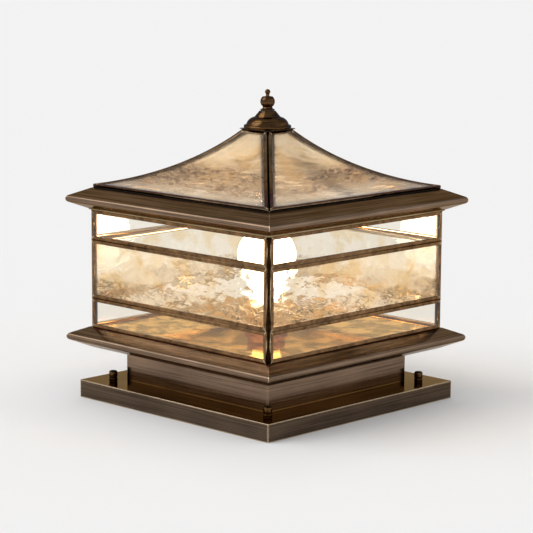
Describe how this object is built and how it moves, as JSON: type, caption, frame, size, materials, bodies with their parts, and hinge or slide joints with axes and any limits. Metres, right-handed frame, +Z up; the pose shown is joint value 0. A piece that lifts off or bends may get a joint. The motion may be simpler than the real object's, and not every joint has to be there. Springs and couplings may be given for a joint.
{
  "type": "pillar light",
  "caption": "Square post-top lantern with glazed sides between two eave mouldings, a concave hipped glass roof, a spun cap and a turned finial, on a stepped tray base.",
  "frame": {"origin": "centre of the underside, on the pillar top", "axes": "+Z up; the four sides face +X, -X, +Y and -Y, and -Y is the front"},
  "size_m": [0.3, 0.3, 0.3292],
  "materials": {
    "antique_bronze": "brushed and darkened antique bronze, clear lacquer",
    "polished_brass": "polished",
    "clear_glass": "smooth clear glass",
    "water_glass": "pale champagne water glass, rippled",
    "zinc_steel": "zinc plated",
    "white_ceramic": "glazed",
    "lamp_glass": "frosted, lit",
    "lamp_cap": "rolled",
    "black_rubber": "matt",
    "block_plastic": "moulded",
    "lead_jackets": "insulated wire"
  },
  "bodies": {
    "lantern": {"mounting_bracket": "zinc_steel", "base_tray": "antique_bronze", "neck_box": "antique_bronze", "lower_eave": "antique_bronze", "floor_plate": "polished_brass", "corner_posts": "antique_bronze", "top_ring": "antique_bronze", "bridge_strap": "antique_bronze", "centre_rod": "zinc_steel", "rod_nuts": "zinc_steel", "holder_strap": "zinc_steel", "frame_screws": "zinc_steel", "lampholder_body": "white_ceramic", "lampholder_shell": "polished_brass", "lampholder_contact": "polished_brass", "terminal_block": "block_plastic", "earth_terminal": "polished_brass", "internal_leads": "lead_jackets", "cable_grommet": "black_rubber", "front_wall_frame": "antique_bronze", "front_lower_pane": "clear_glass", "front_middle_pane": "water_glass", "front_upper_pane": "clear_glass", "right_wall_frame": "antique_bronze", "right_lower_pane": "clear_glass", "right_middle_pane": "water_glass", "right_upper_pane": "clear_glass", "back_wall_frame": "antique_bronze", "back_lower_pane": "clear_glass", "back_middle_pane": "water_glass", "back_upper_pane": "clear_glass", "left_wall_frame": "antique_bronze", "left_lower_pane": "clear_glass", "left_middle_pane": "water_glass", "left_upper_pane": "clear_glass"},
    "lid": {"upper_eave": "antique_bronze", "roof_spider": "antique_bronze", "front_roof_frame": "antique_bronze", "front_roof_pane": "water_glass", "right_roof_frame": "antique_bronze", "right_roof_pane": "water_glass", "back_roof_frame": "antique_bronze", "back_roof_pane": "water_glass", "left_roof_frame": "antique_bronze", "left_roof_pane": "water_glass"},
    "roof_cap": {"cap": "antique_bronze"},
    "finial_seal": {"finial_washer": "black_rubber"},
    "finial": {"finial": "antique_bronze"},
    "bulb_slide": {"bulb_contact": "lamp_cap"},
    "bulb": {"bulb_glass": "lamp_glass", "bulb_screw_cap": "lamp_cap"},
    "left_front_collar": {"left_front_nut_collar": "antique_bronze"},
    "left_front_nut": {"left_front_cap_nut": "antique_bronze"},
    "left_back_collar": {"left_back_nut_collar": "antique_bronze"},
    "left_back_nut": {"left_back_cap_nut": "antique_bronze"},
    "right_front_collar": {"right_front_nut_collar": "antique_bronze"},
    "right_front_nut": {"right_front_cap_nut": "antique_bronze"},
    "right_back_collar": {"right_back_nut_collar": "antique_bronze"},
    "right_back_nut": {"right_back_cap_nut": "antique_bronze"}
  },
  "joints": [
    {"name": "lid_lift", "type": "slide", "parent": "lantern", "child": "lid", "axis": [0, 0, 1], "range_m": [0, 0.12]},
    {"name": "cap_lift", "type": "slide", "parent": "lid", "child": "roof_cap", "axis": [0, 0, 1], "range_m": [0, 0.03]},
    {"name": "finial_lift", "type": "slide", "parent": "roof_cap", "child": "finial_seal", "axis": [0, 0, 1], "range_m": [0, 0.01]},
    {"name": "finial_turn", "type": "hinge", "parent": "finial_seal", "child": "finial", "pos_m": [0, 0, 0], "axis": [0, 0, 1], "range_deg": [0, 3672]},
    {"name": "bulb_lift", "type": "slide", "parent": "lantern", "child": "bulb_slide", "axis": [0, 0, 1], "range_m": [0, 0.01448]},
    {"name": "bulb_turn", "type": "hinge", "parent": "bulb_slide", "child": "bulb", "pos_m": [0, 0, 0], "axis": [0, 0, 1], "range_deg": [0, 1468.8]},
    {"name": "left_front_nut_lift", "type": "slide", "parent": "lantern", "child": "left_front_collar", "axis": [0, 0, 1], "range_m": [0, 0.0056]},
    {"name": "left_front_nut_turn", "type": "hinge", "parent": "left_front_collar", "child": "left_front_nut", "pos_m": [-0.115, -0.115, 0], "axis": [0, 0, 1], "range_deg": [0, 2570.4]},
    {"name": "left_back_nut_lift", "type": "slide", "parent": "lantern", "child": "left_back_collar", "axis": [0, 0, 1], "range_m": [0, 0.0056]},
    {"name": "left_back_nut_turn", "type": "hinge", "parent": "left_back_collar", "child": "left_back_nut", "pos_m": [-0.115, 0.115, 0], "axis": [0, 0, 1], "range_deg": [0, 2570.4]},
    {"name": "right_front_nut_lift", "type": "slide", "parent": "lantern", "child": "right_front_collar", "axis": [0, 0, 1], "range_m": [0, 0.0056]},
    {"name": "right_front_nut_turn", "type": "hinge", "parent": "right_front_collar", "child": "right_front_nut", "pos_m": [0.115, -0.115, 0], "axis": [0, 0, 1], "range_deg": [0, 2570.4]},
    {"name": "right_back_nut_lift", "type": "slide", "parent": "lantern", "child": "right_back_collar", "axis": [0, 0, 1], "range_m": [0, 0.0056]},
    {"name": "right_back_nut_turn", "type": "hinge", "parent": "right_back_collar", "child": "right_back_nut", "pos_m": [0.115, 0.115, 0], "axis": [0, 0, 1], "range_deg": [0, 2570.4]}
  ],
  "couplings": [
    {"joint": "finial_turn", "follows": "finial_lift", "rad_per_m": 6283.2},
    {"joint": "bulb_turn", "follows": "bulb_lift", "rad_per_m": 1735.7},
    {"joint": "left_front_nut_turn", "follows": "left_front_nut_lift", "rad_per_m": 7854},
    {"joint": "left_back_nut_turn", "follows": "left_back_nut_lift", "rad_per_m": 7854},
    {"joint": "right_front_nut_turn", "follows": "right_front_nut_lift", "rad_per_m": 7854},
    {"joint": "right_back_nut_turn", "follows": "right_back_nut_lift", "rad_per_m": 7854}
  ]
}
